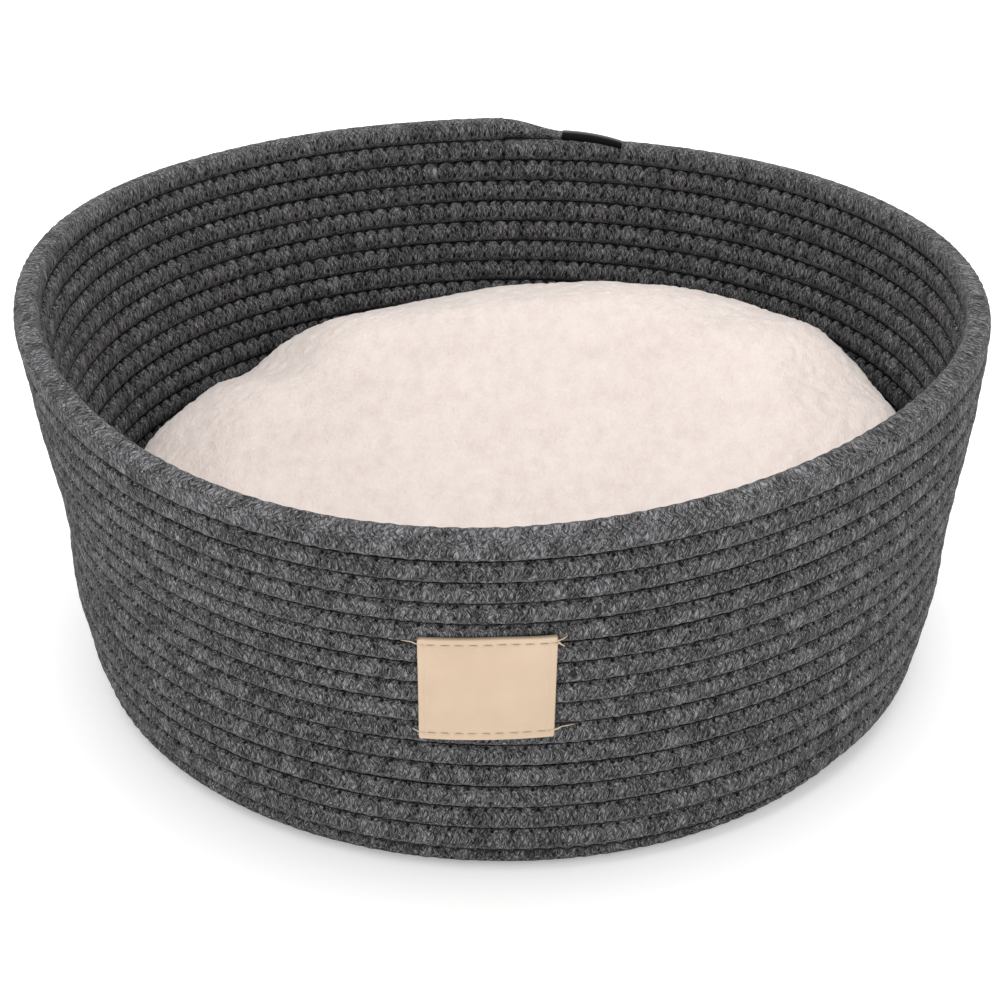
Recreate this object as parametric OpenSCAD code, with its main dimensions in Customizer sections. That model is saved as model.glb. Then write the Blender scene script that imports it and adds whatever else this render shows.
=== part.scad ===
// Coiled rope pet bed: one long braided rope wound into a floor, a wall and a rim,
// sewn turn to turn, with a leather label on the front and a loose plush cushion inside.
// Frame: origin at the centre of the underside, +Z up, the label faces -Y.

/* [Basket] */
// Diameter over the outside of the rim
outer_d = 394; // [384:1:406]
// Height from the underside to the highest point of the rim
basket_h = 163.5; // [130:0.5:200]
// Radius of the rope's centre line where the wall leaves the corner
wall_foot_r = 173; // [168:0.5:178]
// Radius of the bend between the floor and the wall
corner_r = 7; // [6:0.5:12]
// How much further apart the turns sit round that bend, so that they don't press into each other
corner_spread = 1.2; // [1.2:0.05:1.4]
// Lean of the upper wall from the vertical, in degrees
flare_angle = 10.2; // [8:0.1:14]

/* [Rope] */
// Diameter of the braided rope
rope_d = 9.6; // [6:0.1:9.6]
// Distance between neighbouring turns
coil_pitch = 10; // [10:0.1:12]
// Diameter of the filler core inside the braid
core_d = 5.7; // [3:0.1:6]
// How far the floor's rope is pressed flat by the weight on it
floor_flat = 0.3; // [0.1:0.1:0.6]
// Azimuth where the full round rope stops, anticlockwise from +X in degrees
rope_end_azimuth = 92; // [60:1:120]
// Length of the narrowing stretch behind the rope end
taper_len = 30; // [20:1:40]
// Diameter of the narrowed rope end
tip_d = 4.4; // [3:0.1:5]
// Length of the bound rope end
tip_len = 29; // [20:1:40]
// Wall of the binding round the rope end
binding_wall = 0.6; // [0.4:0.1:1]

/* [Stitching] */
// Diameter of the sewing thread
thread_d = 1; // [0.6:0.1:1.2]
// Distance of the sewing thread from the middle of the wall
thread_offset = 2.2; // [2:0.1:3]

/* [Label] */
// Width of the leather label
label_w = 47; // [44:0.5:60]
// Height of the leather label
label_h = 48; // [30:0.5:60]
// Thickness of the leather
label_t = 1.5; // [1:0.1:2.5]
// Height of the label's middle above the underside
label_z = 89.5; // [80:0.5:110]
// Clearance between the rope and the label
label_gap = 0.5; // [0.4:0.1:1]
// Distance of each stitch row from the label's upper or lower edge
stitch_inset = 3.4; // [2:0.1:8]
// Distance between neighbouring stitches
stitch_pitch = 4.9; // [4:0.1:8]
// Length of one stitch
stitch_len = 3.4; // [2:0.1:3.6]
// Diameter of the label's thread
stitch_d = 0.8; // [0.5:0.1:1]
// Stitches in each row
stitch_count = 9; // [3:1:9]

/* [Cushion] */
// Diameter of the cushion
cushion_d = 326; // [300:1:330]
// Height of the cushion's middle above the underside of the basket
cushion_top_z = 86; // [78:1:100]
// Height of the seam round the cushion
cushion_seam_z = 44; // [42:1:50]
// Radius of the level middle of the cushion's top
crown_r = 50; // [30:1:80]
// Radius of the cushion's upper shoulder
shoulder_r = 30; // [20:1:32]
// Thickness of the plush cover
cover_t = 2; // [1.6:0.1:3]
// Clearance between the cushion and the floor rope
cushion_gap = 0.3; // [0.3:0.1:2]

/* [Hidden] */

section_fn = 48;
round_fn = 120;
deg = 180 / PI;
slip = 0.1;

charcoal = [0.27, 0.27, 0.28];
charcoal_light = [0.36, 0.36, 0.37];
thread_black = [0.10, 0.10, 0.11];
core_white = [0.85, 0.84, 0.80];
leather_beige = [0.86, 0.75, 0.62];
plush_cream = [0.93, 0.88, 0.84];

// Coil profile: the floor, a bend up, a slow swell outwards, then a straight flare to the rim
rope_r = rope_d / 2;
half_pitch = coil_pitch / 2;
floor_edge_r = wall_foot_r - corner_r;
foot_z = rope_r + corner_r;
rim_r = outer_d / 2 - rope_r;
rim_z = basket_h - rope_r;
swell_r = ((rim_z - foot_z) * tan(flare_angle) - (rim_r - wall_foot_r))
    / (tan(flare_angle) * sin(flare_angle) - 1 + cos(flare_angle));
swell_end_r = wall_foot_r + swell_r * (1 - cos(flare_angle));
swell_end_z = foot_z + swell_r * sin(flare_angle);
corner_len = corner_r * 90 / deg / corner_spread;
swell_len = swell_r * flare_angle / deg;
flare_len = (rim_z - swell_end_z) / cos(flare_angle);
// Rounded, so that the floor's turns get radii of few decimals that match exactly end to end
profile_len = round((corner_len + swell_len + flare_len) * 100) / 100;

// Half turns are counted from the rope end at the rim down to the middle of the floor
floor_start = ceil(profile_len / half_pitch);
rim_half_turns = 2;
half_turns = floor((profile_len + floor_edge_r - rope_r / 2) / half_pitch);

core_bore_d = core_d + 2 * slip;
taper_step = 0.7;
taper_d = rope_d - 2 * taper_step;
taper_bore_d = core_bore_d + 6 * slip;
label_r = rim_r - (rim_z - label_z) * tan(flare_angle) + (rope_r + label_gap) / cos(flare_angle);
label_arc = label_w / label_r * deg;

cushion_r = cushion_d / 2;
cushion_base_z = rope_d - floor_flat + cushion_gap;
shoulder_centre_r = cushion_r - shoulder_r;
shoulder_rise = cushion_top_z - cushion_seam_z;
dome_r = (pow(shoulder_centre_r - crown_r, 2) + pow(shoulder_rise, 2) - pow(shoulder_r, 2))
    / (2 * (shoulder_rise - shoulder_r));
heel_r = cushion_seam_z - cushion_base_z;

// Point of the coil profile as [radius, z], a distance s up from the floor's edge; the floor is s < 0
function profile_point(s) =
    s < 0 ? [floor_edge_r + s, rope_r]
    : s < corner_len ? floor_corner(s / corner_len * 90)
    : s < corner_len + swell_len ? wall_swell((s - corner_len) / swell_r * deg)
    : wall_flare(s - corner_len - swell_len);
function floor_corner(turned) =
    [floor_edge_r + corner_r * sin(turned), rope_r + corner_r * (1 - cos(turned))];
function wall_swell(turned) = [wall_foot_r + swell_r * (1 - cos(turned)), foot_z + swell_r * sin(turned)];
function wall_flare(run) = [swell_end_r + run * sin(flare_angle), swell_end_z + run * cos(flare_angle)];

// Steepness of the profile in degrees: 0 on the floor, 90 where the wall is upright
function profile_slope(s) =
    s < 0 ? 0
    : s < corner_len ? s / corner_len * 90
    : s < corner_len + swell_len ? 90 - (s - corner_len) / swell_r * deg
    : 90 - flare_angle;

// Point of the spiral after k half turns, moved off the wall's middle towards the outside
function coil_point(k, offset = 0) =
    let (s = profile_len - k * half_pitch, slope = profile_slope(s))
    profile_point(s) + offset * [sin(slope), -cos(slope)];

// A half turn runs from point a on +X to point b on -X: its ring's diameter and tilt
function ring_span(a, b) = norm([a.x + b.x, a.y - b.y]);
function ring_tilt(a, b) = asin((a.y - b.y) / ring_span(a, b));
function coil_tilt(k, offset) = ring_tilt(coil_point(k, offset), coil_point(k + 1, offset));

// Twist of the section that makes each half turn's end match the start of the next one;
// the floor lies flat and has none
function coil_twist(k, offset) =
    k >= floor_start ? 0 : coil_twist(k + 1, offset) + coil_tilt(k, offset) + coil_tilt(k + 1, offset);

// Sweeps a 2D section round half a turn, over +Y
module half_turn(a, b) {
    translate([(a.x - b.x) / 2, 0, (a.y + b.y) / 2])
        rotate([0, -ring_tilt(a, b), 0])
            rotate_extrude(angle = 180, $fn = round_fn)
                translate([ring_span(a, b) / 2, 0])
                    children();
}

// Half turns from number first to number last of the spiral, all with the same 2D section
module coil_run(first, last, offset = 0) {
    rotate([0, 0, rope_end_azimuth])
        for (k = [first : last - 1])
            rotate([0, 0, 180 * (k % 2)])
                half_turn(coil_point(k, offset), coil_point(k + 1, offset))
                    rotate(coil_twist(k, offset))
                        children();
}

module sheath_section() {
    difference() {
        circle(d = rope_d, $fn = section_fn);
        circle(d = core_bore_d, $fn = section_fn);
    }
}

// The floor's rope is pressed flat where it stands on the ground
module floor_section() {
    difference() {
        sheath_section();
        translate([-rope_r, floor_flat - rope_r - rope_d])
            square(rope_d);
    }
}

// The turns of the floor, let down by as much as they are pressed flat
module floor_turns(offset = 0) {
    translate([0, 0, -floor_flat])
        coil_run(floor_start, half_turns, offset)
            children();
}

module core_section() {
    circle(d = core_d, $fn = section_fn);
}

module thread_section() {
    circle(d = thread_d, $fn = section_fn);
}

// The thread runs in the groove between turns: half a turn round puts its spiral half a pitch aside
module to_groove() {
    rotate([0, 0, 180])
        children();
}

module base_coil() {
    color(charcoal)
        floor_turns()
            floor_section();
}

module wall_coil() {
    color(charcoal)
        coil_run(rim_half_turns, floor_start)
            sheath_section();
}

module rim_coil() {
    color(charcoal_light) {
        coil_run(0, rim_half_turns)
            sheath_section();
        rope_end_placed(0)
            difference() {
                union() {
                    sphere(d = taper_d, $fn = section_fn);
                    cylinder(d1 = taper_d, d2 = tip_d - taper_step, h = taper_len, $fn = section_fn);
                }
                translate([0, 0, -rope_d])
                    cylinder(d = taper_bore_d, h = rope_d, $fn = section_fn);
                cylinder(d1 = taper_bore_d, d2 = slip, h = taper_len - tip_d, $fn = section_fn);
            }
        rope_end_placed(1)
            translate([0, 0, -taper_step])
                cylinder(d = tip_d, h = tip_len + taper_step, $fn = section_fn);
    }
}

// Places a straight stretch of the rope end, its axis along +Z, on the chord it covers
module rope_end_placed(stretch) {
    first_arc = taper_len / rim_r * deg;
    second_arc = tip_len / rim_r * deg;
    drop = rope_r - tip_d / 2 - binding_wall - 4 * slip;
    start_arc = stretch * first_arc;
    chord_turn = stretch == 0 ? first_arc / 2 : second_arc / 2;
    dip = stretch == 0 ? asin(drop / taper_len) : 0;
    start = coil_point(0);
    rotate([0, 0, rope_end_azimuth - start_arc])
        translate([start.x, 0, start.y - stretch * drop])
            rotate([0, 0, -chord_turn])
                rotate([90 + dip, 0, 0])
                    children();
}

module base_coil_core() {
    color(core_white)
        floor_turns()
            core_section();
}

module wall_coil_core() {
    color(core_white)
        coil_run(rim_half_turns, floor_start)
            core_section();
}

module rim_coil_core() {
    color(core_white) {
        coil_run(0, rim_half_turns)
            core_section();
        rope_end_placed(0)
            translate([0, 0, -taper_step])
                cylinder(d1 = core_d - taper_step, d2 = slip, h = taper_len - 2 * tip_d, $fn = section_fn);
    }
}

module base_stitching_top() {
    color(thread_black)
        to_groove()
            floor_turns(-thread_offset)
                thread_section();
}

module base_stitching_bottom() {
    color(thread_black)
        to_groove()
            floor_turns(thread_offset)
                thread_section();
}

module wall_stitching_inner() {
    color(thread_black)
        to_groove()
            coil_run(1, floor_start, -thread_offset)
                thread_section();
}

module wall_stitching_outer() {
    color(thread_black)
        to_groove()
            coil_run(1, floor_start, thread_offset)
                thread_section();
}

module rope_end_binding() {
    color(thread_black)
        rope_end_placed(1)
            difference() {
                cylinder(d = tip_d + 2 * binding_wall, h = tip_len + binding_wall, $fn = section_fn);
                cylinder(d = tip_d, h = tip_len, $fn = section_fn);
            }
}

// Distance up the leaning wall from the label's middle, as [radius, z] on the label's inner face
function label_point(up, out = 0) = [
    label_r + up * sin(flare_angle) + out * cos(flare_angle),
    label_z + up * cos(flare_angle) - out * sin(flare_angle)
];

// The leather: a strip of the leaning wall's cone, cut off upright at both sides
module label_blank() {
    intersection() {
        rotate([0, 0, -90 - label_arc])
            rotate_extrude(angle = 2 * label_arc, $fn = round_fn)
                polygon([
                    label_point(-label_h / 2),
                    label_point(-label_h / 2, label_t),
                    label_point(label_h / 2, label_t),
                    label_point(label_h / 2)
                ]);
        translate([-label_w / 2, -outer_d, 0])
            cube([label_w, outer_d, basket_h]);
    }
}

// Puts a child at every stitch of a row, a distance up from the label's middle
module stitch_row(up) {
    seat = label_point(up, label_t);
    for (i = [0 : stitch_count - 1])
        rotate([0, 0, -90 + (i - (stitch_count - 1) / 2) * stitch_pitch / seat.x * deg])
            translate([seat.x, 0, seat.y])
                rotate([0, flare_angle, 0])
                    children();
}

// One stitch: a bar along the row on the leather's face and a leg at each end, through the leather
module stitch() {
    rotate([90, 0, 0])
        cylinder(d = stitch_d, h = stitch_len, center = true, $fn = section_fn);
    stitch_legs(stitch_d);
}

module stitch_legs(d) {
    for (side = [-1, 1])
        translate([-label_t - label_gap / 2, side * (stitch_len - d) / 2, 0])
            rotate([0, 90, 0])
                cylinder(d = d, h = label_t + label_gap / 2, $fn = section_fn);
}

module label_patch() {
    color(leather_beige)
        difference() {
            label_blank();
            for (side = [-1, 1])
                stitch_row(side * (label_h / 2 - stitch_inset))
                    stitch();
        }
}

module label_stitch_upper() {
    color(leather_beige)
        stitch_row(label_h / 2 - stitch_inset)
            stitch();
}

module label_stitch_lower() {
    color(leather_beige)
        stitch_row(stitch_inset - label_h / 2)
            stitch();
}

// Right half of the cushion above its seam: a level crown, a wide dome and a round shoulder
module cushion_upper_section(inset) {
    shoulder_centre = [shoulder_centre_r, cushion_seam_z];
    dome_centre = [crown_r, cushion_top_z - dome_r];
    reach = shoulder_centre - dome_centre;
    past_shoulder = shoulder_centre + reach / norm(reach) * shoulder_rise;
    translate([0, cushion_seam_z])
        square([crown_r, shoulder_rise - inset]);
    intersection() {
        translate(dome_centre)
            circle(r = dome_r - inset, $fn = 8 * round_fn);
        polygon([
            [crown_r, cushion_seam_z], shoulder_centre, past_shoulder,
            [crown_r, cushion_top_z + shoulder_rise]
        ]);
    }
    intersection() {
        translate(shoulder_centre)
            circle(r = shoulder_r - inset, $fn = round_fn);
        translate([0, cushion_seam_z])
            square([cushion_r, shoulder_rise]);
    }
}

// Right half of the cushion below its seam: a flat bottom with a round heel
module cushion_lower_section(inset) {
    translate([0, cushion_base_z + inset])
        square([cushion_r - heel_r, heel_r - inset]);
    intersection() {
        translate([cushion_r - heel_r, cushion_seam_z])
            circle(r = heel_r - inset, $fn = round_fn);
        translate([0, cushion_base_z])
            square([cushion_r, heel_r]);
    }
}

// The seam thread's own path, shared between the two covers' edges
module seam_ring(d) {
    rotate_extrude($fn = round_fn)
        translate([cushion_r - cover_t / 2, cushion_seam_z])
            circle(d = d, $fn = section_fn);
}

module cushion_top_cover() {
    color(plush_cream)
        difference() {
            rotate_extrude($fn = round_fn)
                difference() {
                    cushion_upper_section(0);
                    cushion_upper_section(cover_t);
                }
            seam_ring(thread_d + 2 * slip);
        }
}

module cushion_base_cover() {
    color(plush_cream)
        difference() {
            rotate_extrude($fn = round_fn)
                difference() {
                    cushion_lower_section(0);
                    cushion_lower_section(cover_t);
                }
            seam_ring(thread_d + 2 * slip);
        }
}

module cushion_fill() {
    color(core_white)
        rotate_extrude($fn = round_fn) {
            cushion_upper_section(cover_t + slip);
            cushion_lower_section(cover_t + slip);
        }
}

module cushion_seam_thread() {
    color(plush_cream)
        seam_ring(thread_d);
}

base_coil();
wall_coil();
rim_coil();
base_coil_core();
wall_coil_core();
rim_coil_core();
base_stitching_top();
base_stitching_bottom();
wall_stitching_inner();
wall_stitching_outer();
rope_end_binding();
label_patch();
label_stitch_upper();
label_stitch_lower();
cushion_top_cover();
cushion_base_cover();
cushion_fill();
cushion_seam_thread();
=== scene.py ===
import math

import bpy
import numpy as np
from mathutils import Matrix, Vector, noise


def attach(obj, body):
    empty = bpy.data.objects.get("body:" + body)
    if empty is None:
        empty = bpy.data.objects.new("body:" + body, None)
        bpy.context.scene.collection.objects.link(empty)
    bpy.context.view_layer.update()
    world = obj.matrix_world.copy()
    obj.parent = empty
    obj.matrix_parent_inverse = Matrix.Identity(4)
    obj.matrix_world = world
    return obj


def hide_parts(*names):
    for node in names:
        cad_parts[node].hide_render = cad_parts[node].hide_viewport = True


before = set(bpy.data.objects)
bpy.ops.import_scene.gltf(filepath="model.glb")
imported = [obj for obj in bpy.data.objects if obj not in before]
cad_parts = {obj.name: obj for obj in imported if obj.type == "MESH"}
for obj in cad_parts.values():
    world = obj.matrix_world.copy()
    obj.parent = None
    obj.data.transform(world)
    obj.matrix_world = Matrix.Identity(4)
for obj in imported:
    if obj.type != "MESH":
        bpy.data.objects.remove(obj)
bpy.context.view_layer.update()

# The looks of a pet bed coiled from sewn rope, with a leather label and a plush cushion.
# Everything is in metres. The coil repeats the CAD model's dimensions.
MM = 0.001
OUTER_R = 197.0 * MM
BASKET_H = 163.5 * MM
ROPE_D = 9.6 * MM
PITCH = 10.0 * MM
WALL_FOOT_R = 173.0 * MM
CORNER_R = 7.0 * MM
CORNER_SPREAD = 1.2
FLARE = math.radians(10.2)
ROPE_END_AZIMUTH = math.radians(92)
COIL_START_R = 4.5 * MM

ROPE_R = ROPE_D / 2
RIM_R = OUTER_R - ROPE_R
RIM_Z = BASKET_H - ROPE_R
FLOOR_EDGE_R = WALL_FOOT_R - CORNER_R
FOOT_Z = ROPE_R + CORNER_R
# Above its foot the wall bends outward at this radius, until it stands at the flare's slope
SWELL_R = ((RIM_Z - FOOT_Z) * math.tan(FLARE) - (RIM_R - WALL_FOOT_R)) / (
    math.tan(FLARE) * math.sin(FLARE) - 1 + math.cos(FLARE)
)
SWELL_END_Z = FOOT_Z + SWELL_R * math.sin(FLARE)
# Distances up the profile from the floor's edge, and the turns of rope that they hold
CORNER_LEN = CORNER_R * math.pi / 2 / CORNER_SPREAD
SWELL_LEN = SWELL_R * FLARE
PROFILE_LEN = CORNER_LEN + SWELL_LEN + (RIM_Z - SWELL_END_Z) / math.cos(FLARE)
WALL_TURNS = PROFILE_LEN / PITCH
COIL_TURNS = (PROFILE_LEN + FLOOR_EDGE_R - COIL_START_R) / PITCH

# Hand sewing pulls the wall a little out of true: mm, as (cosine, sine) for once, twice and
# three times round
RIM_OUT = ((-2.5, 3.1), (-1.7, 0.4), (2.3, 1.2))
RIM_UP = ((0.0, -0.7), (4.1, 0.6), (-1.4, -0.8))
BELLY_ROUND = 1.35
BELLY_OUT = ((1.5, 0.0), (2.95, -0.6))
# The lowest courses bulge at the sides, and the foot draws in under them. LOW_T and the
# spreads are shares of the wall's height
LOW_ROUND, LOW_T, LOW_SPREAD = 1.35, 0.26, 0.12
LOW_OUT = ((-0.4, 0.0), (1.35, 0.0))
FOOT_IN, FOOT_SPREAD = 0.9, 0.09

# Needle holes along the rope, spaced a little unevenly
STITCH_PERIOD = 6.8 * MM
STITCH_SWING = 61.0
STITCH_SWING_PHASE = 0.3
# Needle holes round the rope: angle from the outside up, half length and half height in mm,
# and depth. The first three are deep, and the upper ones need a course above them
HOLES = [
    (math.radians(134), 0.85, 2.1, 0.9),
    (math.radians(192), 0.75, 0.9, 0.9),
    (math.radians(42), 0.70, 1.1, 0.9),
    (math.radians(-14), 0.42, 0.5, 0.5),
]


def smooth(x):
    """Goes from 0 to 1 as x does, level at both ends."""
    x = np.clip(x, 0.0, 1.0)
    return x * x * (3 - 2 * x)


# ---------------------------------------------------------------- coil


def profile_at(s):
    """Radius, height and slope of the coil's profile, a distance s up from the floor's edge."""
    s = np.asarray(s, float)
    turned = np.clip(s / CORNER_LEN, 0, 1) * math.pi / 2
    r = FLOOR_EDGE_R + np.minimum(s, 0) + CORNER_R * np.sin(turned)
    z = ROPE_R + CORNER_R * (1 - np.cos(turned))
    bent = np.clip((s - CORNER_LEN) / SWELL_R, 0, FLARE)
    r = r + SWELL_R * (1 - np.cos(bent))
    z = z + SWELL_R * np.sin(bent)
    run = np.maximum(s - CORNER_LEN - SWELL_LEN, 0)
    r = r + run * math.sin(FLARE)
    z = z + run * math.cos(FLARE)
    return r, z, turned - bent


def waves(azimuth, pairs):
    """Sum in metres of (cosine, sine) pairs in mm, for once, twice, three times round."""
    return sum(
        (c * np.cos(n * azimuth) + d * np.sin(n * azimuth)) * MM
        for n, (c, d) in enumerate(pairs, start=1)
    )


def wall_shift(azimuth, t):
    """How far the wall stands out of true, at a share t of its height."""
    belly = 4 * t * np.clip(1 - t, 0, 1)
    low = np.exp(-(((t - LOW_T) / LOW_SPREAD) ** 2))
    foot = np.exp(-((t / FOOT_SPREAD) ** 2))
    shift = t * waves(azimuth, RIM_OUT) + belly * (BELLY_ROUND * MM + waves(azimuth, BELLY_OUT))
    shift = shift + low * (LOW_ROUND * MM + waves(azimuth, LOW_OUT))
    return shift - foot * FOOT_IN * MM * (1 + np.cos(2 * azimuth))


def height_share(z):
    """Share of the wall's height, a little past 1 at the top of the rim."""
    return np.clip(z / RIM_Z, 0, 1.1)


def sway(points):
    """Moves points of the basket the way that the sewn wall is out of true."""
    x, y, z = points.T
    azimuth = np.arctan2(y, x)
    t = height_share(z)
    radius = np.maximum(np.hypot(x, y), 1e-6)
    grow = wall_shift(azimuth, t) * np.clip(radius / FLOOR_EDGE_R, 0, 1)
    wide = 1 + grow / radius
    return np.column_stack([x * wide, y * wide, z + t * waves(azimuth, RIM_UP)])


def sway_rings(rings, lowest):
    """Rings of points moved by sway, with none lower than the height given."""
    flat = sway(rings.reshape(-1, 3))
    flat[:, 2] = np.maximum(flat[:, 2], lowest)
    return flat.reshape(rings.shape)


def coil_centre(turn):
    """Radius, height, slope and azimuth of the rope's centre, some turns down from its end."""
    r, z, slope = profile_at(PROFILE_LEN - turn * PITCH)
    return r, z, slope, ROPE_END_AZIMUTH + 2 * math.pi * turn


def radial_plane(r, z, slope, azimuth, out, up):
    """Points at distances out from the profile and up along it, in each radial plane."""
    sin_s, cos_s = np.sin(slope)[:, None], np.cos(slope)[:, None]
    radius = r[:, None] + sin_s * out + cos_s * up
    height = z[:, None] - cos_s * out + sin_s * up
    azimuth = azimuth[:, None]
    return np.stack([radius * np.cos(azimuth), radius * np.sin(azimuth), height], -1)


def coil_samples(step):
    """Turn numbers down the whole coil, evenly spaced along the rope, and the distance at each."""
    turn = np.linspace(0, COIL_TURNS, 200001)
    r = coil_centre(turn)[0]
    length = np.concatenate([[0], np.cumsum((r[1:] + r[:-1]) * math.pi * np.diff(turn))])
    at = np.linspace(0, length[-1], int(length[-1] / step))
    return np.interp(at, length, turn), at


def length_at(turn):
    """Distance along the rope from its end, in mm."""
    turns, lengths = coil_samples(ROPE_STEP)
    return float(np.interp(turn, turns, lengths)) / MM


# ---------------------------------------------------------------- mesh tools


def new_mesh(name, verts, faces_flat, loop_totals, uvs=None):
    """A smooth-shaded object from vertices, the faces' corners in one row, and corners per face."""
    mesh = bpy.data.meshes.new(name)
    mesh.vertices.add(len(verts))
    mesh.vertices.foreach_set("co", np.asarray(verts, np.float32).ravel())
    mesh.loops.add(len(faces_flat))
    mesh.loops.foreach_set("vertex_index", np.asarray(faces_flat, np.int32))
    mesh.polygons.add(len(loop_totals))
    starts = np.concatenate([[0], np.cumsum(loop_totals)[:-1]])
    mesh.polygons.foreach_set("loop_start", starts.astype(np.int32))
    mesh.polygons.foreach_set("loop_total", np.asarray(loop_totals, np.int32))
    if uvs is not None:
        layer = mesh.uv_layers.new(name="UVMap")
        layer.data.foreach_set("uv", np.asarray(uvs, np.float32).ravel())
    mesh.update(calc_edges=True)
    mesh.validate()
    mesh.polygons.foreach_set("use_smooth", np.full(len(mesh.polygons), True))
    obj = bpy.data.objects.new(name, mesh)
    bpy.context.scene.collection.objects.link(obj)
    return obj


def tube_quads(n, m):
    """Corners of the quads between n rings of m points.

    The rope's, threads' and stitches' rings run so that these quads, and the caps made to match,
    face inward.
    """
    i, j = np.meshgrid(np.arange(n - 1), np.arange(m), indexing="ij")
    k = (j + 1) % m
    corners = [i * m + j, i * m + k, (i + 1) * m + k, (i + 1) * m + j]
    return np.stack(corners, -1).reshape(-1, 4)


def tube_uvs(u, v, n, m):
    """UVs of the quads, and then the two caps, of a tube of n rings of m points."""
    u0, u1 = (np.broadcast_to(a[:, None], (n - 1, m)) for a in (u[:-1], u[1:]))
    v0, v1 = (np.broadcast_to(a[None, :], (n - 1, m)) for a in (v[:-1], v[1:]))
    sides = np.stack([u0, v0, u0, v1, u1, v1, u1, v0], -1).reshape(-1, 2)
    first = np.column_stack([np.full(m, u[0]), v[:-1][::-1]])
    last = np.column_stack([np.full(m, u[-1]), v[:-1]])
    return np.concatenate([sides, first, last])


def tube_mesh(name, rings, u, v, material):
    """A capped tube through rings[n, m, 3]: u runs along it and v round it, m + 1 values."""
    n, m, _ = rings.shape
    quads = tube_quads(n, m)
    flat = np.concatenate([quads.ravel(), np.arange(m)[::-1], (n - 1) * m + np.arange(m)])
    totals = np.concatenate([np.full(len(quads), 4), [m, m]])
    obj = new_mesh(name, rings.reshape(-1, 3), flat, totals, tube_uvs(u, v, n, m))
    mark_ends_sharp(obj.data, m, n)
    obj.data.materials.append(material)
    return obj


def mark_ends_sharp(mesh, m, n):
    """Keeps the caps' shading off the tube, so that two tubes end to end look like one."""
    edges = np.zeros(len(mesh.edges) * 2, np.int32)
    mesh.edges.foreach_get("vertices", edges)
    edges = edges.reshape(-1, 2)
    at_end = (edges < m).all(1) | ((edges >= (n - 1) * m) & (edges < n * m)).all(1)
    mesh.attributes.new("sharp_edge", "BOOLEAN", "EDGE").data.foreach_set("value", at_end)


# ---------------------------------------------------------------- node tools


class Nodes:
    """A material's node tree, built with short calls. A value may be a number or a socket."""

    def __init__(self, name):
        self.mat = bpy.data.materials.new(name)
        self.mat.use_nodes = True
        self.tree = self.mat.node_tree
        self.shader = self.tree.nodes["Principled BSDF"]

    def put(self, socket, value):
        if isinstance(value, bpy.types.NodeSocket):
            self.tree.links.new(value, socket)
        else:
            socket.default_value = value

    def new(self, kind, **settings):
        node = self.tree.nodes.new(kind)
        for key, value in settings.items():
            setattr(node, key, value)
        return node

    def fill(self, node, *values):
        """Sets the node's first inputs and returns its first output."""
        for socket, value in zip(node.inputs, values):
            self.put(socket, value)
        return node.outputs[0]

    def math(self, op, a, b=0.0):
        return self.fill(self.new("ShaderNodeMath", operation=op), a, b)

    def vec(self, x, y, z=0.0):
        return self.fill(self.new("ShaderNodeCombineXYZ"), x, y, z)

    def span(self, value, lo, hi, to_lo=0.0, to_hi=1.0):
        node = self.new("ShaderNodeMapRange", clamp=True)
        return self.fill(node, value, lo, hi, to_lo, to_hi)

    def split(self, vector):
        node = self.new("ShaderNodeSeparateXYZ")
        self.put(node.inputs[0], vector)
        return node.outputs

    def uv(self):
        return self.new("ShaderNodeUVMap", uv_map="UVMap").outputs[0]

    def position(self):
        return self.new("ShaderNodeTexCoord").outputs["Object"]

    def noise(self, vector, scale, detail=2.0, rough=0.5, out="Fac"):
        node = self.new("ShaderNodeTexNoise")
        self.put(node.inputs["Vector"], vector)
        node.inputs["Scale"].default_value = scale
        node.inputs["Detail"].default_value = detail
        node.inputs["Roughness"].default_value = rough
        return node.outputs[out]

    def white(self, vector):
        node = self.new("ShaderNodeTexWhiteNoise", noise_dimensions="2D")
        self.put(node.inputs["Vector"], vector)
        return node.outputs["Value"]

    def ramp(self, fac, stops):
        node = self.new("ShaderNodeValToRGB")
        elements = node.color_ramp.elements
        while len(elements) < len(stops):
            elements.new(0.5)
        for element, (at, colour) in zip(elements, stops):
            element.position = at
            element.color = (*colour, 1)
        return self.fill(node, fac)

    def mix(self, fac, a, b, blend="MIX"):
        node = self.new("ShaderNodeMix", data_type="RGBA", blend_type=blend)
        self.put(node.inputs[0], fac)
        for socket, value in zip(node.inputs[6:8], (a, b)):
            self.put(socket, (*value, 1) if isinstance(value, tuple) else value)
        return node.outputs[2]

    def total(self, *terms):
        """Sum of value times weight."""
        total = None
        for value, weight in terms:
            part = self.math("MULTIPLY", value, weight)
            total = part if total is None else self.math("ADD", total, part)
        return total

    def bump(self, height, distance, strength=1.0):
        node = self.new("ShaderNodeBump")
        node.inputs["Distance"].default_value = distance
        node.inputs["Strength"].default_value = strength
        self.put(node.inputs["Height"], height)
        return node.outputs[0]

    def finish(self, colour, normal=None, roughness=0.9, specular=0.3, sheen=0.0, sheen_rough=0.5):
        s = self.shader.inputs
        self.put(s["Base Color"], colour)
        self.put(s["Roughness"], roughness)
        s["Sheen Weight"].default_value = sheen
        s["Sheen Roughness"].default_value = sheen_rough
        s["Specular IOR Level"].default_value = specular
        if normal is not None:
            self.put(s["Normal"], normal)
        return self.mat


def grey(v):
    """A grey with a trace of blue."""
    return (v, v * 0.985, v * 1.02)


# ---------------------------------------------------------------- materials

# The braid's strands: their angle to the rope, and in mm their width and how far they wander
BRAID_ANGLE = math.radians(58)
STRAND_WIDTH = 2.2
WANDER = 2.6
# Half width round the rope, in mm, of the line of painted shade in the groove where two courses
# meet
GROOVE_SHADE_HALF = 2.9
# Painted shade: how dark the lower half of each course is inside the basket, where it faces down,
# away from the light
INNER_SHADE = 0.38
# Half the length of rope, in mm, over which the grooves and the upper holes come in
FADE = 25
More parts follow.
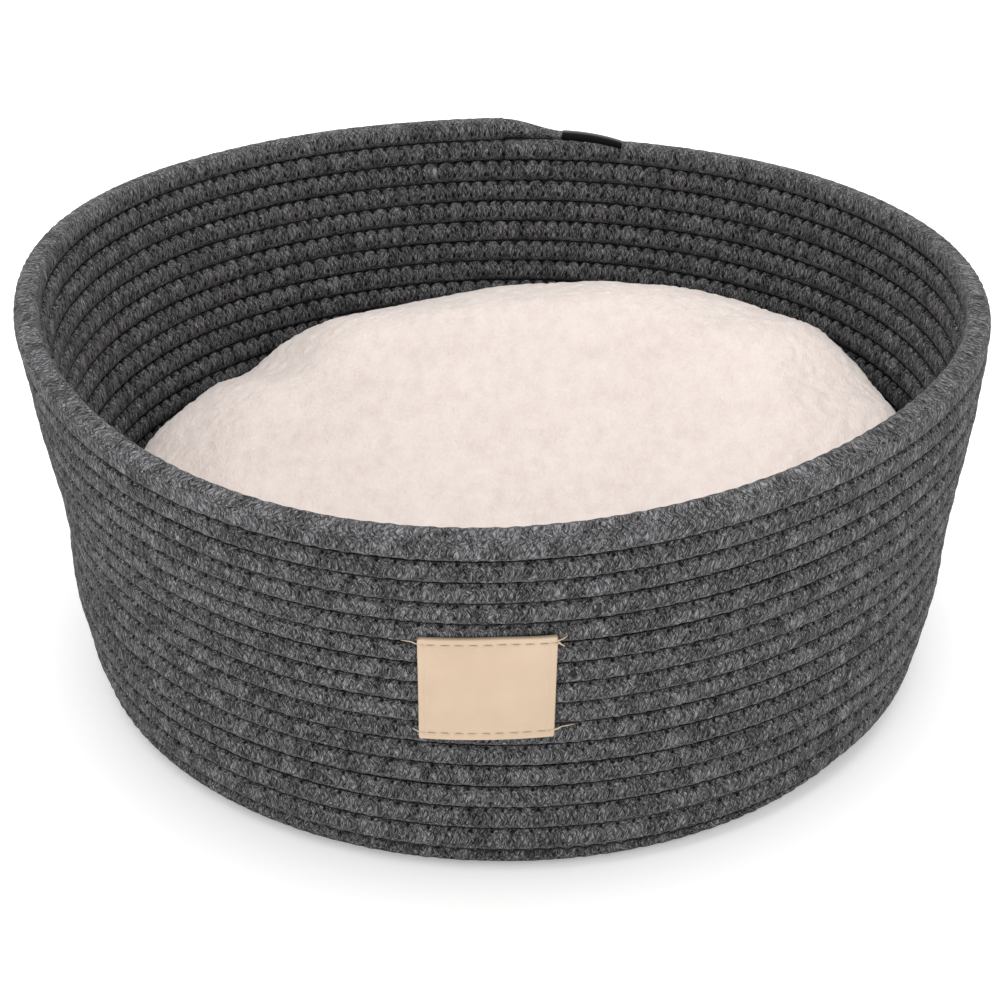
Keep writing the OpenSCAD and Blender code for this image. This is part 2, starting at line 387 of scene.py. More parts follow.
# Greys of the melange yarn, from its darkest fibres to its palest
ROPE_TONES = ((0.0, 0.006), (0.22, 0.022), (0.44, 0.064), (0.74, 0.126), (1.0, 0.27))
BINDING_WRAP = 1.1 * MM
# Radians of twist in each metre of sewing thread
THREAD_TWIST = 4200.0


def rope_material(sewn_from, wall_until):
    """Melange cotton braid. sewn_from and wall_until are distances along the rope, in mm."""
    n = Nodes("melange rope")
    u, v, _ = n.split(n.uv())
    u = n.math("MULTIPLY", u, 1 / MM)
    v = n.math("MULTIPLY", v, 1 / MM)
    # the rim has no course above it, and the floor's lower side no groove to see
    sewn = n.span(u, sewn_from - FADE, sewn_from + FADE)
    wall = n.span(u, wall_until - FADE, wall_until + FADE, 1.0, 0.0)
    holes = needle_holes(n, u, v, sewn)
    # painted shade in the grooves between courses
    groove_shade = groove_shade_mask(n, v, n.math("MULTIPLY", sewn, wall), wall)
    # painted shade on the lower half of each course inside the basket
    shade = n.span(around(n, v, 232), 1.2, 4.6, INNER_SHADE, 0.0)
    wx, wy, _ = n.split(n.noise(n.vec(u, v), 0.22, out="Color"))
    u = n.math("ADD", u, n.math("MULTIPLY", wx, WANDER))
    v = n.math("ADD", v, n.math("MULTIPLY", wy, WANDER))
    braid, fibres, tint = braid_pattern(n, u, v)
    patches = n.noise(n.vec(u, v), 0.16)
    # painted light: the rim, lit from above, is painted a little lighter
    rim_painted_light = n.math("SUBTRACT", 1.0, sewn)
    level = n.total((fibres, 1.0), (tint, 0.07), (patches, 0.24), (braid, 0.10), (rim_painted_light, 0.02))
    colour = n.ramp(n.span(level, 0.57, 0.89), [(at, grey(tone)) for at, tone in ROPE_TONES])
    colour = n.mix(shade, colour, grey(0.012))
    # painted shade: the needle holes and the grooves between courses are painted near black
    colour = n.mix(n.math("MAXIMUM", holes, groove_shade), colour, grey(0.003))
    height = n.math("SUBTRACT", n.total((braid, 0.35), (fibres, 0.8)), holes)
    return n.finish(colour, n.bump(height, 0.7 * MM, 0.8), 0.95, 0.04, sheen=0.05)


def braid_pattern(n, u, v):
    """Two families of strands that lean against each other: their height, fibres and tint."""
    cos_b, sin_b = math.cos(BRAID_ANGLE), math.sin(BRAID_ANGLE)
    us, uc = n.math("MULTIPLY", u, sin_b), n.math("MULTIPLY", u, cos_b)
    vs, vc = n.math("MULTIPLY", v, sin_b), n.math("MULTIPLY", v, cos_b)
    across = n.math("SUBTRACT", vc, us), n.math("ADD", vc, us)
    along = n.math("ADD", uc, vs), n.math("SUBTRACT", uc, vs)
    strand_no = [n.math("DIVIDE", a, STRAND_WIDTH) for a in across]
    cells = n.math("ADD", *[n.math("FLOOR", a) for a in strand_no])
    over = n.math("FLOORED_MODULO", cells, 2.0)
    under = n.math("SUBTRACT", 1.0, over)

    def on_top(made):
        return n.math("ADD", *[n.math("MULTIPLY", s, x) for s, x in zip((over, under), made)])

    def dome(t):
        d = n.math("SUBTRACT", n.math("FRACT", t), 0.5)
        return n.math("SUBTRACT", 1.0, n.math("MULTIPLY", n.math("MULTIPLY", d, d), 4.0))

    def hairs(a, b, salt):
        # finer across a strand than along it
        place = n.vec(n.math("MULTIPLY", a, 2.7), n.math("MULTIPLY", b, 0.62), salt)
        return n.noise(place, 1.0, rough=0.65)

    def shades(a, salt):
        return n.white(n.vec(n.math("FLOOR", a), salt))

    braid = on_top([dome(t) for t in strand_no])
    fibres = on_top([hairs(a, b, salt) for a, b, salt in zip(across, along, (0.0, 7.0))])
    tint = on_top([shades(a, salt) for a, salt in zip(strand_no, (3.0, 11.0))])
    return braid, fibres, tint


def around(n, v, degrees):
    """Distance round the rope, in mm, from the place at an angle from the outside up."""
    at = (math.radians(degrees) + math.pi / 2) * ROPE_R / MM
    return n.math("ABSOLUTE", n.math("SUBTRACT", v, at))


def groove_shade_mask(n, v, above, below):
    """Mask of the line of painted shade in the groove on a course's top and bottom, where there is
    a course beyond.
    """

    def line(distance, there):
        mask = n.span(distance, GROOVE_SHADE_HALF - 0.5, GROOVE_SHADE_HALF + 0.3, 1.0, 0.0)
        return n.math("MULTIPLY", mask, there)

    bottom = n.math("MINIMUM", around(n, v, -90), around(n, v, 270))
    return n.math("MAXIMUM", line(around(n, v, 90), above), line(bottom, below))


def needle_holes(n, u, v, sewn):
    """Mask of the needle holes, in the same places as the dents in rope_relief: it sets their bump
    and the painted shade in them.
    """
    period = STITCH_PERIOD / MM
    swing = n.math("SINE", n.math("MULTIPLY", u, STITCH_SWING * MM))
    swing = n.math("MULTIPLY", swing, STITCH_SWING_PHASE)
    phase = n.math("ADD", n.math("DIVIDE", u, period), swing)
    du = n.math("MULTIPLY", n.math("SUBTRACT", n.math("FRACT", phase), 0.5), period)
    holes = None
    for angle, half_u, half_v, depth in HOLES:
        dv = n.math("SUBTRACT", v, (angle + math.pi / 2) * ROPE_R / MM)
        x, y = n.math("DIVIDE", du, half_u), n.math("DIVIDE", dv, half_v)
        d = n.math("ADD", n.math("MULTIPLY", x, x), n.math("MULTIPLY", y, y))
        mask = n.math("MULTIPLY", n.span(d, 0.35, 1.25, 1.0, 0.0), depth)
        if math.radians(28) < angle < math.radians(160):
            mask = n.math("MULTIPLY", mask, sewn)
        holes = mask if holes is None else n.math("MAXIMUM", holes, mask)
    return holes


def thread_material():
    """Dark polyester thread, twisted."""
    n = Nodes("sewing thread")
    u, v, _ = n.split(n.uv())
    twist = n.math("SINE", n.math("MULTIPLY", n.math("ADD", u, v), THREAD_TWIST))
    colour = n.ramp(n.span(twist, -1.0, 1.0), [(0.0, grey(0.004)), (1.0, grey(0.014))])
    return n.finish(colour, n.bump(twist, 0.1 * MM), 0.55, 0.4)


def binding_material():
    """Dark thread wound tight round the rope's end, with painted light along its upper side."""
    n = Nodes("binding")
    u, v, _ = n.split(n.uv())
    wraps = n.math("SINE", n.math("MULTIPLY", u, 2 * math.pi / BINDING_WRAP))
    # painted light: the upper side, lit from above, is painted paler
    top = n.span(around(n, n.math("MULTIPLY", v, 1 / MM), 80), 2.6, 5.2, 1.0, 0.0)
    colour = n.mix(top, (0.001, 0.001, 0.002), (0.10, 0.10, 0.11))
    return n.finish(colour, n.bump(wraps, 0.02 * MM), 0.6, 0.12)


def leather_material():
    """Pale vegetable-tanned leather with a fine grain."""
    n = Nodes("label leather")
    p = n.position()
    grain = n.noise(p, 2600.0, 3.0, 0.6)
    level = n.total((grain, 0.4), (n.noise(p, 60.0), 0.6))
    tones = [(0.0, (0.53, 0.397, 0.28)), (1.0, (0.602, 0.462, 0.337))]
    colour = n.ramp(n.span(level, 0.3, 0.7), tones)
    return n.finish(colour, n.bump(grain, 0.08 * MM, 0.5), 0.55, 0.35)


def label_thread_material():
    """Cream thread, a little lighter than the leather."""
    n = Nodes("label thread")
    fine = n.noise(n.position(), 5000.0)
    colour = n.ramp(n.span(fine, 0.3, 0.7), [(0.0, (0.46, 0.35, 0.25)), (1.0, (0.66, 0.55, 0.43))])
    return n.finish(colour, n.bump(fine, 0.1 * MM), roughness=0.7)


def plush_material():
    """Short cream pile in soft clumps."""
    n = Nodes("plush")
    p = n.position()
    x, y, z = n.split(p)
    # the pile is stroked one way, so its tufts are longer than they are wide
    stroked = n.vec(x, n.math("MULTIPLY", y, 0.45), z)
    pile = n.noise(stroked, 900.0, 4.0, 0.65)
    clumps = n.noise(stroked, 170.0, 3.0, 0.55)
    level = n.total((pile, 0.35), (clumps, 0.4), (n.noise(p, 22.0), 0.25))
    tones = [(0.0, (0.61, 0.516, 0.476)), (0.5, (0.70, 0.61, 0.562)), (1.0, (0.755, 0.675, 0.63))]
    colour = n.ramp(n.span(level, 0.3, 0.7), tones)
    # painted light: towards its edge, where the cushion turns away from the light, it is painted
    # lighter
    reach = n.math("SQRT", n.math("ADD", n.math("MULTIPLY", x, x), n.math("MULTIPLY", y, y)))
    colour = n.mix(n.span(reach, 0.09, 0.15), colour, (1.09, 1.09, 1.09), "MULTIPLY")
    normal = n.bump(n.total((pile, 0.6), (clumps, 0.5)), 1.2 * MM, 0.7)
    return n.finish(colour, normal, 1.0, 0.1, sheen=0.8, sheen_rough=0.4)


# ---------------------------------------------------------------- rope

RNG = np.random.default_rng(7)
WOBBLE_R = RNG.uniform(0, 2 * math.pi, 6)
WOBBLE_Z = RNG.uniform(0, 2 * math.pi, 6)
WOBBLE_R_AMOUNT, WOBBLE_Z_AMOUNT = 0.22 * MM, 0.08 * MM
ROPE_STEP = 1.25 * MM
# Points round the rope, and the angle of each, from its underside outward and up
ROUND = 28
THETA = np.linspace(-math.pi / 2, 1.5 * math.pi, ROUND, endpoint=False)[None, :]
ROUND_V = np.linspace(0, 2 * math.pi * ROPE_R, ROUND + 1)
# Pressed by its neighbours, the rope is squarish, and a little higher than its pitch
SQUARE_POWER = 2.0 / 3.4
HALF_HEIGHT = PITCH / 2 * 1.035
# Depths in mm of the dents of the highest holes and the others, and of the lobes between them
TOP_DENT, DENT, LOBE = 1.1, 0.45, 0.36
# Where the mesh is cut into pieces, in turns from the rope's end
CUTS = (0, 1, 3.2, 5.6, 8.2, 10.8, 13.6, WALL_TURNS + 0.25, COIL_TURNS + 1)
# The bound end: the rope thins, drops and leans in over TAPER_LEN, and the binding runs on
TAPER_LEN = 30.0 * MM
TIP_LEN = 29.0 * MM
TIP_R = 2.8 * MM
TIP_DROP = 3.0 * MM
TIP_IN = 1.2 * MM
TIP_OVERLAP = 1.5 * MM


def course_wobble(turn, phases):
    """Slow wobble of the rope along its length."""
    total = np.zeros_like(turn)
    for i, phase in enumerate(phases):
        total += np.sin(2 * math.pi * turn * (3.17 + 2.31 * i) + phase) / (1.5 + i)
    return total


def rope_relief(length, turn):
    """Height of the rope's surface off its section: dents, lobes between them, braid and lumps."""
    phase = length / STITCH_PERIOD + STITCH_SWING_PHASE * np.sin(length * STITCH_SWING)
    phase = phase - np.floor(phase) - 0.5
    du = phase * STITCH_PERIOD / MM
    sewn = smooth((turn - 0.85) / 0.3)
    relief = np.zeros(np.broadcast(length, THETA).shape)
    for angle, half_u, half_v, depth in HOLES:
        dv = (THETA - angle) * ROPE_R / MM
        dent = np.exp(-((du / (1.5 * half_u)) ** 2) - (dv / (1.5 * half_v)) ** 2)
        top = math.radians(100) < angle < math.radians(160)
        relief -= (TOP_DENT if top else DENT) * depth * dent * (sewn if top else 1.0)
    inner_top = np.exp(-(((THETA - math.radians(135)) / 0.5) ** 2))
    relief -= LOBE * np.cos(2 * math.pi * phase) * inner_top * sewn
    braid = np.sin(length * 900 + 4 * THETA) + np.sin(length * 900 - 4 * THETA)
    lumps = np.sin(length * 830 + 2 * THETA + 3 * np.sin(length * 97))
    lumps = lumps * np.sin(length * 410 - 3 * THETA)
    return (relief + 0.05 * braid + 0.09 * lumps) * MM


def squarish(x):
    return np.sign(x) * np.abs(x) ** SQUARE_POWER


def rope_rings(turns, lengths):
    """Rings of points round the rope, at turns and distances along it."""
    r, z, slope, azimuth = coil_centre(turns)
    on_wall = smooth((z - ROPE_R) / (20 * MM))
    r = r + WOBBLE_R_AMOUNT * on_wall * course_wobble(turns, WOBBLE_R)
    shift = WOBBLE_Z_AMOUNT * on_wall * course_wobble(turns, WOBBLE_Z)
    scale = 1 + rope_relief(lengths[:, None], turns[:, None]) / ROPE_R
    out = squarish(np.cos(THETA)) * ROPE_R * scale
    up = squarish(np.sin(THETA)) * HALF_HEIGHT * scale + shift[:, None]
    return sway_rings(radial_plane(r, z, slope, azimuth, out, up), 0.0)


def build_coil(material):
    """The rope in pieces: rim, wall and floor."""
    turns, lengths = coil_samples(ROPE_STEP)
    names = ["rope_rim", *[f"rope_wall_{letter}" for letter in "abcdef"], "rope_floor"]
    made = []
    for name, lo, hi in zip(names, CUTS[:-1], CUTS[1:]):
        first = max(np.searchsorted(turns, lo) - 1, 0)
        last = min(np.searchsorted(turns, hi), len(turns) - 1)
        # the floor is hardly seen, so it has half the rings
        part = slice(first, last + 1, 2 if name == "rope_floor" else 1)
        rings = rope_rings(turns[part], lengths[part])
        made.append(tube_mesh(name, rings, lengths[part], ROUND_V, material))
    return made


def end_tube(name, along, radius, drop, inward, material):
    """A stretch past the rope's full round part, clockwise seen from above."""
    azimuth = (ROPE_END_AZIMUTH - along / RIM_R)[:, None]
    out = radius[:, None] * np.cos(THETA)
    up = radius[:, None] * np.sin(THETA)
    rr = RIM_R - inward[:, None] + out * math.cos(FLARE) + up * math.sin(FLARE)
    zz = RIM_Z - drop[:, None] - out * math.sin(FLARE) + up * math.cos(FLARE)
    rings = np.stack([rr * np.cos(azimuth), rr * np.sin(azimuth), zz], -1)
    return tube_mesh(name, sway_rings(rings, 0.0)[::-1], -along[::-1], ROUND_V, material)


def build_rope_end(rope, binding):
    """The rope's tapered end, and the binding round its tip."""
    along = np.linspace(0, TAPER_LEN, 30)
    t = smooth(along / TAPER_LEN)
    radius = ROPE_R + (TIP_R - 0.5 * MM - ROPE_R) * t**0.9
    taper = end_tube("rope_end_taper", along, radius, TIP_DROP * t, TIP_IN * t, rope)
    f = np.linspace(0, 1, 60)
    along = TAPER_LEN - TIP_OVERLAP + (TIP_LEN + TIP_OVERLAP) * f
    radius = TIP_R * (1 - 0.2 * f**2) * (1 + 0.02 * np.sin(f * 130))
    radius *= np.clip(np.minimum(f * 20 + 0.75, (1 - f) * 25 + 0.55), 0, 1)
    drop = TIP_DROP + 2.0 * MM * f**2.2
    inward = TIP_IN + 3.0 * MM * f**1.5
    return taper, end_tube("rope_end_wrap", along, radius, drop, inward, binding)


# ---------------------------------------------------------------- sewing thread

THREAD_R = 0.42 * MM
THREAD_SIDES = 6


def thread_run(name, first, last, side, material):
    """Sewing thread in the grooves between two turns, outside (side 1) or inside (-1)."""
    turns, lengths = coil_samples(STITCH_PERIOD / 5)
    keep = (turns >= first) & (turns <= last)
    turns, lengths = turns[keep], lengths[keep]
    # the groove below a course is half a turn's climb further down
    r, z, slope, azimuth = coil_centre(turns + 0.5)
    zig = np.sin(2 * math.pi * lengths / STITCH_PERIOD)[:, None]
    theta = np.linspace(0, 2 * math.pi, THREAD_SIDES, endpoint=False)[None, :]
    out = side * (2.7 * MM + 0.5 * MM * zig * zig) + THREAD_R * np.cos(theta)
    up = 0.9 * MM * zig + THREAD_R * np.sin(theta)
    rings = sway_rings(radial_plane(r, z, slope, azimuth - math.pi, out, up), 0.3 * MM)
    v = np.linspace(0, 2 * math.pi * THREAD_R, THREAD_SIDES + 1)
    return tube_mesh(name, rings, lengths, v, material)


# ---------------------------------------------------------------- label

LABEL_W, LABEL_H, LABEL_T = 48.5 * MM, 50.2 * MM, 1.5 * MM
LABEL_Z = 90.5 * MM
LABEL_S = PROFILE_LEN - (RIM_Z - LABEL_Z) / math.cos(FLARE)
LABEL_GAP = 0.25 * MM
# Sewn on by hand, the label is a little askew, and its upper right corner stands off the rope
LABEL_SKEW_X, LABEL_SKEW_UP = 0.018, 0.035
LABEL_CURL = 1.1 * MM
LABEL_CORNER = 1.3 * MM
LABEL_EDGE = 0.6 * MM
# Half width of the pressed lines, and half height of the rows of stitches
LINE_X = LABEL_W / 2 - 2.2 * MM
STITCH_ROW = LABEL_H / 2 - 3.0 * MM
STITCH_SEAT = 0.28 * MM
STITCH_PITCH = 4.9 * MM
STITCH_LEN = 3.6 * MM
STITCH_COUNT = 9
STITCH_R = 0.36 * MM
# Loose thread ends: side of the label, start in mm in from its edge and up from the row, steps
# in mm as (across, up, height off the rope), and radius in mm
UPPER_TAILS = (
    (-1, 2.0, 0.0, ((-2.6, 0.5, 1.0), (-1.6, 0.7, 0.9), (-3.4, 0.3, 0.8)), 0.26),
    (1, 2.0, 0.6, ((2.4, 1.0, 1.6), (1.6, 0.2, 1.2), (1.2, 0.9, 0.9)), 0.26),
    (1, 2.0, 0.2, ((2.6, -0.2, 1.5), (1.0, -1.3, 1.1), (0.9, -1.2, 0.8)), 0.26),
    (1, 0.0, 0.9, ((0.9, -0.9, 1.4), (0.2, -1.4, 0.9)), 0.2),
)
LOWER_TAILS = (
    (-1, 2.0, 0.0, ((-2.4, 0.4, 1.1), (-1.8, 1.0, 0.9)), 0.26),
    (1, 2.0, 0.0, ((2.6, 0.5, 1.2), (2.0, 0.8, 1.0), (4.4, 0.3, 0.9)), 0.26),
    (1, 2.0, -0.3, ((2.4, 0.6, 1.3), (1.8, 0.2, 0.9)), 0.2),
)


def label_place(x, up, out):
    """Points of the label: x along its width, up the wall from its middle, out from the rope."""
    x, up = x + LABEL_SKEW_X * up, up + LABEL_SKEW_UP * x
    r, z, slope = profile_at(LABEL_S + up)
    curl = LABEL_CURL * smooth((x / LABEL_W + up / LABEL_H - 0.55) / 0.45)
    out = ROPE_R + LABEL_GAP + out + curl
    rr = r + np.sin(slope) * out
    azimuth = -math.pi / 2 + x / rr
    zz = z - np.cos(slope) * out
    return sway(np.column_stack([rr * np.cos(azimuth), rr * np.sin(azimuth), zz]))


def edge_steps(length, middle, offsets):
    """Grid lines over one side, closer at its rounded edges and at two lines off its middle."""
    half = length / 2
    edge = np.array([0.0, 0.05, 0.16, 0.34, 0.6, 0.95]) * MM
    inner = np.linspace(-half + 1.3 * MM, half - 1.3 * MM, 46)
    lines = [side * (middle + d * MM) for side in (-1, 1) for d in offsets]
    return np.unique(np.round(np.concatenate([-half + edge, inner, half - edge, lines]), 7))


def edge_fall(e):
    """How far the label's front falls towards its rounded edge, at a distance e in from it."""
    e = np.clip(e, 0, LABEL_EDGE)
    return LABEL_EDGE - np.sqrt(np.maximum(LABEL_EDGE**2 - (LABEL_EDGE - e) ** 2, 0))


def label_front(x, y):
    """Height of the front, with rounded edges, pressed side lines and seats for the stitches."""
    edge_x, edge_y = LABEL_W / 2 - np.abs(x), LABEL_H / 2 - np.abs(y)
    drop = np.maximum(edge_fall(edge_x), edge_fall(edge_y))
    line = 0.10 * MM * np.exp(-(((np.abs(x) - LINE_X) / (0.18 * MM)) ** 2))
    seat = STITCH_SEAT * np.exp(-(((np.abs(y) - STITCH_ROW) / (0.75 * MM)) ** 2))
    hem = 0.12 * MM * smooth((np.abs(y) - STITCH_ROW) / (1.5 * MM))
    return LABEL_T - drop - line - seat + hem


def round_corners(x, y):
    """The grid's points pulled in to the label's rounded corners."""
    cx = np.clip(LABEL_CORNER - (LABEL_W / 2 - np.abs(x)), 0, LABEL_CORNER)
    cy = np.clip(LABEL_CORNER - (LABEL_H / 2 - np.abs(y)), 0, LABEL_CORNER)
    over = np.maximum(np.hypot(cx, cy) - LABEL_CORNER, 0)
    reach = np.maximum(np.hypot(cx, cy), 1e-9)
    return x - np.sign(x) * over * cx / reach, y - np.sign(y) * over * cy / reach


def grid_border(n, m):
    """Numbers of the points round an n by m grid, in order."""
    sides = (
        np.arange(0, (n - 1) * m, m),
        (n - 1) * m + np.arange(m - 1),
        np.arange(n * m - 1, m - 1, -m),
        np.arange(m - 1, 0, -1),
    )
    return np.concatenate(sides)


def build_label(leather):
    xs = edge_steps(LABEL_W, LINE_X, (-0.3, -0.15, 0, 0.15, 0.3))
    ys = edge_steps(LABEL_H, STITCH_ROW, (-0.9, -0.6, -0.3, 0, 0.3, 0.6, 0.9))
    x, y = np.meshgrid(xs, ys, indexing="ij")
    n, m = x.shape
    front = label_front(x, y).ravel()
    px, py = (a.ravel() for a in round_corners(x, y))
    verts = np.concatenate([label_place(px, py, front), label_place(px, py, 0 * front)])
    i, j = np.meshgrid(np.arange(n - 1), np.arange(m - 1), indexing="ij")
    a = (i * m + j).ravel()
    top = np.column_stack([a, a + m, a + m + 1, a + 1])
    loop = grid_border(n, m)
    after = np.roll(loop, -1)
    side = np.column_stack([loop, loop + n * m, after + n * m, after])
    quads = np.concatenate([top, top[:, ::-1] + n * m, side])
    obj = new_mesh("label", verts, quads.ravel(), np.full(len(quads), 4))
    obj.data.materials.append(leather)
    return obj


def strand_rings(points, radius):
    """Rings round a thread through the points, in label coordinates."""
    ahead = np.gradient(points, axis=0)
    ahead /= np.linalg.norm(ahead, axis=1)[:, None]
    side = np.cross(ahead, [0, 0, 1.0])
    side /= np.maximum(np.linalg.norm(side, axis=1)[:, None], 1e-9)
    up = np.cross(side, ahead)
    theta = np.linspace(0, 2 * math.pi, 8, endpoint=False)[None, :, None]
    ring = side[:, None] * np.cos(theta) + up[:, None] * np.sin(theta)
    return points[:, None] + ring * radius[:, None, None]


def join_strands(name, strands, material):
    """One mesh of closed threads, each given by its points and radii."""
    verts, faces, totals, base = [], [], [], 0
    for points, radius in strands:
        rings = strand_rings(points, radius)
        n, m, _ = rings.shape
        quads = tube_quads(n, m)
        verts.append(label_place(*rings.reshape(-1, 3).T))
        ends = [np.arange(m)[::-1], (n - 1) * m + np.arange(m)]
        faces += [base + quads.ravel(), *[base + end for end in ends]]
        totals += [4] * len(quads) + [m, m]
        base += n * m
    obj = new_mesh(name, np.concatenate(verts), np.concatenate(faces), totals)
    obj.data.materials.append(material)
    return obj


def stitch_row(row, rng):
    """A row of stitches that dive into the leather at both ends."""
    t = np.linspace(-1, 1, 13)
    z = LABEL_T - STITCH_SEAT + 0.34 * MM - 1.15 * MM * np.abs(t) ** 5
    radius = STITCH_R * (1 - 0.35 * np.abs(t) ** 4)
    for i in range(STITCH_COUNT):
        centre = (i - (STITCH_COUNT - 1) / 2) * STITCH_PITCH + rng.normal(0, 0.12 * MM)
        tilt = rng.normal(0, 0.03)
        x, y = centre + t * STITCH_LEN / 2, row + t * tilt * STITCH_LEN
        yield np.column_stack([x, y, z]), radius


def tail(row, side, inset, rise, steps, radius):
    """A thread end that leaves the label's edge and lies on the rope."""
    points = [(side * (LABEL_W / 2 - inset * MM), row + rise * MM, LABEL_T - 0.1 * MM)]
    for dx, dy, z in steps:
        points.append((points[-1][0] + dx * MM, points[-1][1] + dy * MM, z * MM))
    points = np.array(points)
    at = np.linspace(0, len(points) - 1, 6 * len(points))
    line = np.column_stack([np.interp(at, np.arange(len(points)), c) for c in points.T])
    line[1:-1] = (line[:-2] + line[1:-1] + line[2:]) / 3
    return line, radius * MM * (1 - 0.6 * np.linspace(0, 1, len(line)) ** 3)


def build_stitches(thread):
    rng = np.random.default_rng(11)
    made = []
    for name, row, tails in (
        ("label_stitches_upper", STITCH_ROW, UPPER_TAILS),
        ("label_stitches_lower", -STITCH_ROW, LOWER_TAILS),
    ):
        strands = [*stitch_row(row, rng), *[tail(row, *t) for t in tails]]
        made.append(join_strands(name, strands, thread))
    return made


# ---------------------------------------------------------------- cushion

CUSHION_R = 163.0 * MM
CUSHION_BASE_Z = 9.8 * MM
# Its size once stuffed, before it is set askew
CUSHION_LOOK_R = 168.2 * MM
CUSHION_LOOK_Z = 82.0 * MM
# Half outline in mm, from the middle of the top over the edge to the middle of the base
CUSHION_OUTLINE = (
    (0, 80), (60, 80), (110, 80), (136, 79), (150, 76), (159, 70), (164, 60),
    (165, 46), (162, 30), (154, 19), (140, 13.5), (118, 11.5), (70, 11.2), (0, 11.2),
)
# It leans up the wall at the back right, with its edge higher at the sides than across
HIGH_SIDE = math.radians(42)
CUSHION_TILT = 24.5 * MM
CUSHION_RISE = 10.0 * MM
CUSHION_SADDLE = 4.7 * MM
CUSHION_PUFF = 4.2 * MM
# Dents and bulges of the edge: azimuth and width in degrees, height in mm
CUSHION_DENTS = (
    (141, 5, -4.5), (127, 10, 3.0), (165, 9, 3.0), (32, 6, 1.5), (14, 7, -3.0), (76, 7, 1.5),
)
SHELL_STEPS, SHELL_SIDES = 70, 96
VOXEL = 6.6 * MM
# The furthest that stuffing moves a point, the frames it runs for, and the passes that relax it
STUFF_LIMIT = 9 * MM
STUFF_FRAMES = 20
SMOOTH_PASSES = 36
CLOTH = {
    "quality": 6,
    "mass": 0.3,
    "tension_stiffness": 12,
    "compression_stiffness": 12,
    "bending_stiffness": 0.4,
    "use_pressure": True,
    "uniform_pressure_force": 4.0,
}


def cushion_shell():
    """The cushion's cover as a closed lathed shell, before it is stuffed."""
    key = np.array(CUSHION_OUTLINE, float)
    span = np.concatenate([[0], np.cumsum(np.hypot(*np.diff(key, axis=0).T))])
    at = np.linspace(0, span[-1], SHELL_STEPS)
    r, z = (np.interp(at, span, column) * MM for column in key.T)
    m = SHELL_SIDES
    azimuth = np.linspace(0, 2 * math.pi, m, endpoint=False)
    inner_r, inner_z = r[1:-1, None], np.broadcast_to(z[1:-1, None], (len(r) - 2, m))
    rings = np.stack([inner_r * np.cos(azimuth), inner_r * np.sin(azimuth), inner_z], -1)
    n = len(rings)
    # turned over, so that the cushion's faces point outward
    quads = tube_quads(n, m)[:, [0, 3, 2, 1]]
    j = np.arange(m)
    k = (j + 1) % m
    top = np.column_stack([np.full(m, n * m), j, k])
    base = np.column_stack([np.full(m, n * m + 1), (n - 1) * m + k, (n - 1) * m + j])
    verts = np.concatenate([rings.reshape(-1, 3), [[0, 0, z[0]], [0, 0, z[-1]]]])
    faces = np.concatenate([quads.ravel(), top.ravel(), base.ravel()])
    return new_mesh("cushion", verts, faces, [4] * len(quads) + [3] * 2 * m)


def bake_modifiers(obj):
    """Replaces the object's mesh with what its modifiers make of it now."""
    deps = bpy.context.evaluated_depsgraph_get()
    mesh = bpy.data.meshes.new_from_object(obj.evaluated_get(deps))
    obj.modifiers.clear()
    old = obj.data
    obj.data = mesh
    bpy.data.meshes.remove(old)


def per_vertex(source, key, mesh):
    values = np.zeros(len(mesh.vertices) * 3, np.float32)
    source.foreach_get(key, values)
    return values.reshape(-1, 3).astype(float)


def coords(mesh):
    return per_vertex(mesh.vertices, "co", mesh)


def normals(mesh):
    return per_vertex(mesh.vertex_normals, "vector", mesh)


def set_coords(mesh, co):
    mesh.vertices.foreach_set("co", np.asarray(co, np.float32).ravel())
    mesh.update()


def stuff(obj):
    """Inflates a closed shell as cloth, and keeps every point near where it was."""
    start = coords(obj.data)
    scene = bpy.context.scene
    cloth = obj.modifiers.new("Cloth", "CLOTH")
    for key, value in CLOTH.items():
        setattr(cloth.settings, key, value)
    cloth.settings.effector_weights.gravity = 0
    for number in range(1, STUFF_FRAMES + 1):
        scene.frame_set(number)
    bake_modifiers(obj)
    scene.frame_set(1)
    # plush is too thick to keep the cloth's sharp wrinkles
    obj.modifiers.new("Smooth", "SMOOTH").iterations = SMOOTH_PASSES
    bake_modifiers(obj)
    moved = coords(obj.data) - start
    size = np.linalg.norm(moved, axis=1)[:, None]
    set_coords(obj.data, start + moved * np.minimum(1, STUFF_LIMIT / np.maximum(size, 1e-9)))


def noise_at(points, scale, salt):
    """Smooth noise at each point, with features about 1 / scale metres wide."""
    shift = Vector((salt, salt * 1.7, salt * 0.3))
    return np.array([noise.noise(Vector(p) * scale + shift) for p in points])


def wall_inside(z):
    """Radius of the wall's inner face at a height."""
    r, height, _ = profile_at(np.linspace(0, PROFILE_LEN, 400))
    return np.interp(z, height, r) - ROPE_R


def fit_cushion(co):
    """Scales the stuffed cushion back to its size."""
    radius = np.hypot(co[:, 0], co[:, 1]).max()
    low, high = co[:, 2].min(), co[:, 2].max()
    scale = CUSHION_LOOK_R / radius
    z = CUSHION_BASE_Z + (co[:, 2] - low) * (CUSHION_LOOK_Z - CUSHION_BASE_Z) / (high - low)
    return np.column_stack([co[:, 0] * scale, co[:, 1] * scale, z])


